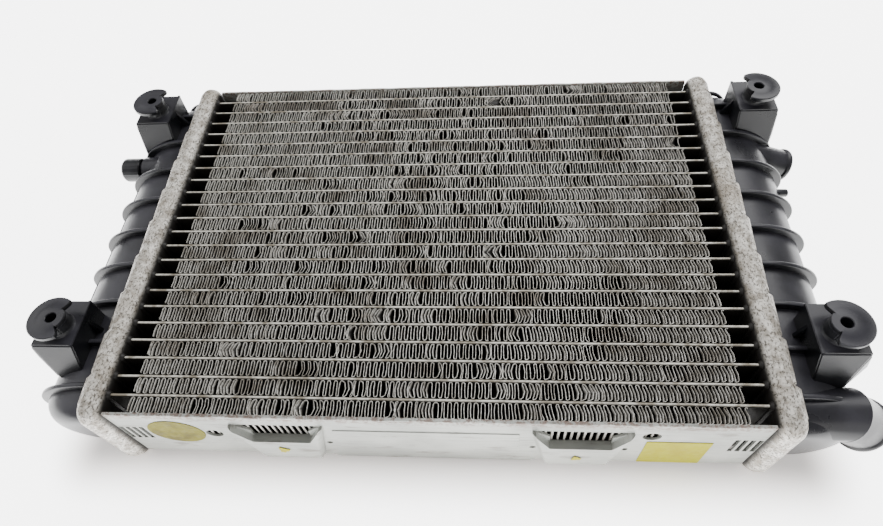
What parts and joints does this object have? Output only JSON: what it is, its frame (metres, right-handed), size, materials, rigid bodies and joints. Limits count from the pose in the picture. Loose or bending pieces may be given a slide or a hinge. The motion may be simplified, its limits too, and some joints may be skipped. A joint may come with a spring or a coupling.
{
  "type": "car radiator",
  "caption": "Cross-flow car radiator: aluminium tube-and-fin core between two crimped header plates, black plastic end tanks with hose necks, screw posts and a bleed cap.",
  "frame": {"origin": "middle of the radiator's bounding box, at the level of the undersides of the two header plates, on which it lies", "axes": "+X across the core, from the tank with the bleed cap to the tank with the hose necks; +Y along the tanks, from the lower hose neck's end to the far end; +Z through the core's depth, out of the face that carries the screw posts"},
  "size_m": [0.4318, 0.2396, 0.0715],
  "materials": {
    "tube_aluminium": "brazed satin",
    "fin_aluminium": "thin strip, dusty",
    "header_aluminium": "flux-speckled satin",
    "side_aluminium": "scuffed whitish satin",
    "tank_plastic": "glass-filled moulding, satin",
    "gasket_rubber": "matte",
    "cap_plastic": "satin gloss",
    "sticker_film": "worn olive-yellow film",
    "label_film": "yellow film"
  },
  "bodies": {
    "radiator": {"tube_01": "tube_aluminium", "tube_02": "tube_aluminium", "tube_03": "tube_aluminium", "tube_04": "tube_aluminium", "tube_05": "tube_aluminium", "tube_06": "tube_aluminium", "tube_07": "tube_aluminium", "tube_08": "tube_aluminium", "tube_09": "tube_aluminium", "tube_10": "tube_aluminium", "tube_11": "tube_aluminium", "tube_12": "tube_aluminium", "tube_13": "tube_aluminium", "tube_14": "tube_aluminium", "tube_15": "tube_aluminium", "tube_16": "tube_aluminium", "tube_17": "tube_aluminium", "tube_18": "tube_aluminium", "tube_19": "tube_aluminium", "tube_20": "tube_aluminium", "tube_21": "tube_aluminium", "tube_22": "tube_aluminium", "fin_01": "fin_aluminium", "fin_02": "fin_aluminium", "fin_03": "fin_aluminium", "fin_04": "fin_aluminium", "fin_05": "fin_aluminium", "fin_06": "fin_aluminium", "fin_07": "fin_aluminium", "fin_08": "fin_aluminium", "fin_09": "fin_aluminium", "fin_10": "fin_aluminium", "fin_11": "fin_aluminium", "fin_12": "fin_aluminium", "fin_13": "fin_aluminium", "fin_14": "fin_aluminium", "fin_15": "fin_aluminium", "fin_16": "fin_aluminium", "fin_17": "fin_aluminium", "fin_18": "fin_aluminium", "fin_19": "fin_aluminium", "fin_20": "fin_aluminium", "fin_21": "fin_aluminium", "fin_22": "fin_aluminium", "fin_23": "fin_aluminium", "left_header_plate": "header_aluminium", "right_header_plate": "header_aluminium", "left_gasket": "gasket_rubber", "right_gasket": "gasket_rubber", "left_tank": "tank_plastic", "right_tank": "tank_plastic", "near_side_plate": "side_aluminium", "far_side_plate": "side_aluminium", "round_sticker": "sticker_film", "blank_label": "label_film"},
    "washer": {"cap_washer": "gasket_rubber"},
    "cap": {"bleed_cap": "cap_plastic"}
  },
  "joints": [
    {"name": "cap_lift", "type": "slide", "parent": "radiator", "child": "washer", "axis": [-1, 0, 0], "range_m": [0, 0.008]},
    {"name": "cap_turn", "type": "hinge", "parent": "washer", "child": "cap", "pos_m": [-0.21585, 0.063, 0.0365], "axis": [-1, 0, 0], "range_deg": [0, 1440]}
  ],
  "couplings": [
    {"joint": "cap_turn", "follows": "cap_lift", "rad_per_m": 3141.6}
  ]
}
